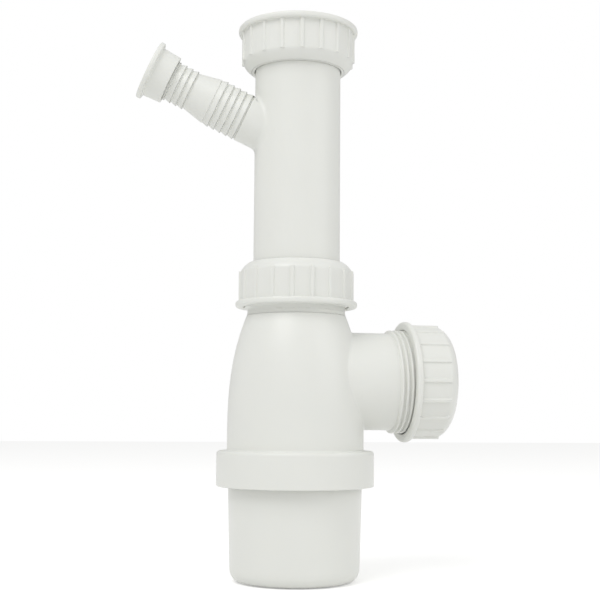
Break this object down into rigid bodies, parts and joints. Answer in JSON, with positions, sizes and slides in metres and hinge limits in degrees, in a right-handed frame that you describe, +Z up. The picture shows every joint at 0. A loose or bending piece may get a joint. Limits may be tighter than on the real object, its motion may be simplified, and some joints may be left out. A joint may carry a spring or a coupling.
{
  "type": "bottle trap",
  "caption": "Sink bottle trap: bottle body with a screw-on cup, telescopic inlet pipe with a capped hose nozzle, side outlet, and ribbed coupling nuts at the inlet, neck and outlet.",
  "frame": {"origin": "centre of the cup's flat base, where the trap stands", "axes": "+Z up along the bottle and the inlet pipe, +X out along the side outlet; the hose nozzle leans up towards -X"},
  "size_m": [0.1462, 0.0716, 0.2554],
  "materials": {
    "white_plastic": "moulded, glossy",
    "ring_plastic": "moulded, satin",
    "seal_rubber": "moulded, matt"
  },
  "bodies": {
    "bottle": {"bottle": "white_plastic", "outlet_seal": "seal_rubber"},
    "cup_seal": {"cup_seal": "seal_rubber"},
    "cup": {"cup": "white_plastic"},
    "neck_slip_ring": {"neck_slip_ring": "ring_plastic"},
    "neck_nut": {"neck_nut": "white_plastic"},
    "outlet_slip_ring": {"outlet_slip_ring": "ring_plastic"},
    "outlet_nut": {"outlet_nut": "white_plastic"},
    "neck_seal": {"neck_seal": "seal_rubber"},
    "inlet": {"inlet_pipe": "white_plastic", "inlet_gasket": "seal_rubber"},
    "top_nut": {"top_nut": "white_plastic"},
    "nozzle_cap": {"nozzle_cap": "white_plastic"}
  },
  "joints": [
    {"name": "cup_drop", "type": "slide", "parent": "bottle", "child": "cup_seal", "axis": [0, 0, -1], "range_m": [0, 0.0101]},
    {"name": "cup_turn", "type": "hinge", "parent": "cup_seal", "child": "cup", "pos_m": [0, 0, 0.02], "axis": [0, 0, -1], "range_deg": [0, 900]},
    {"name": "neck_ring_rise", "type": "slide", "parent": "bottle", "child": "neck_slip_ring", "axis": [0, 0, 1], "range_m": [0, 0.0128]},
    {"name": "neck_nut_turn", "type": "hinge", "parent": "neck_slip_ring", "child": "neck_nut", "pos_m": [0, 0, 0.1336], "axis": [0, 0, 1], "range_deg": [0, 1980]},
    {"name": "outlet_ring_shift", "type": "slide", "parent": "bottle", "child": "outlet_slip_ring", "axis": [1, 0, 0], "range_m": [0, 0.0128]},
    {"name": "outlet_nut_turn", "type": "hinge", "parent": "outlet_slip_ring", "child": "outlet_nut", "pos_m": [0.06, 0, 0.0901], "axis": [1, 0, 0], "range_deg": [0, 1980]},
    {"name": "inlet_swivel", "type": "hinge", "parent": "bottle", "child": "neck_seal", "pos_m": [0, 0, 0.1364], "axis": [0, 0, 1], "continuous": true},
    {"name": "inlet_slide", "type": "slide", "parent": "neck_seal", "child": "inlet", "axis": [0, 0, 1], "range_m": [-0.02, 0.03]},
    {"name": "top_nut_spin", "type": "hinge", "parent": "inlet", "child": "top_nut", "pos_m": [0, 0, 0.2454], "axis": [0, 0, 1], "continuous": true},
    {"name": "cap_pull", "type": "slide", "parent": "inlet", "child": "nozzle_cap", "axis": [-0.91, 0, 0.4147], "range_m": [0, 0.03]}
  ],
  "couplings": [
    {"joint": "cup_drop", "follows": "cup_turn", "m_per_rad": 0.00063662},
    {"joint": "neck_ring_rise", "follows": "neck_nut_turn", "m_per_rad": 0.00036749},
    {"joint": "outlet_ring_shift", "follows": "outlet_nut_turn", "m_per_rad": 0.00036749}
  ]
}
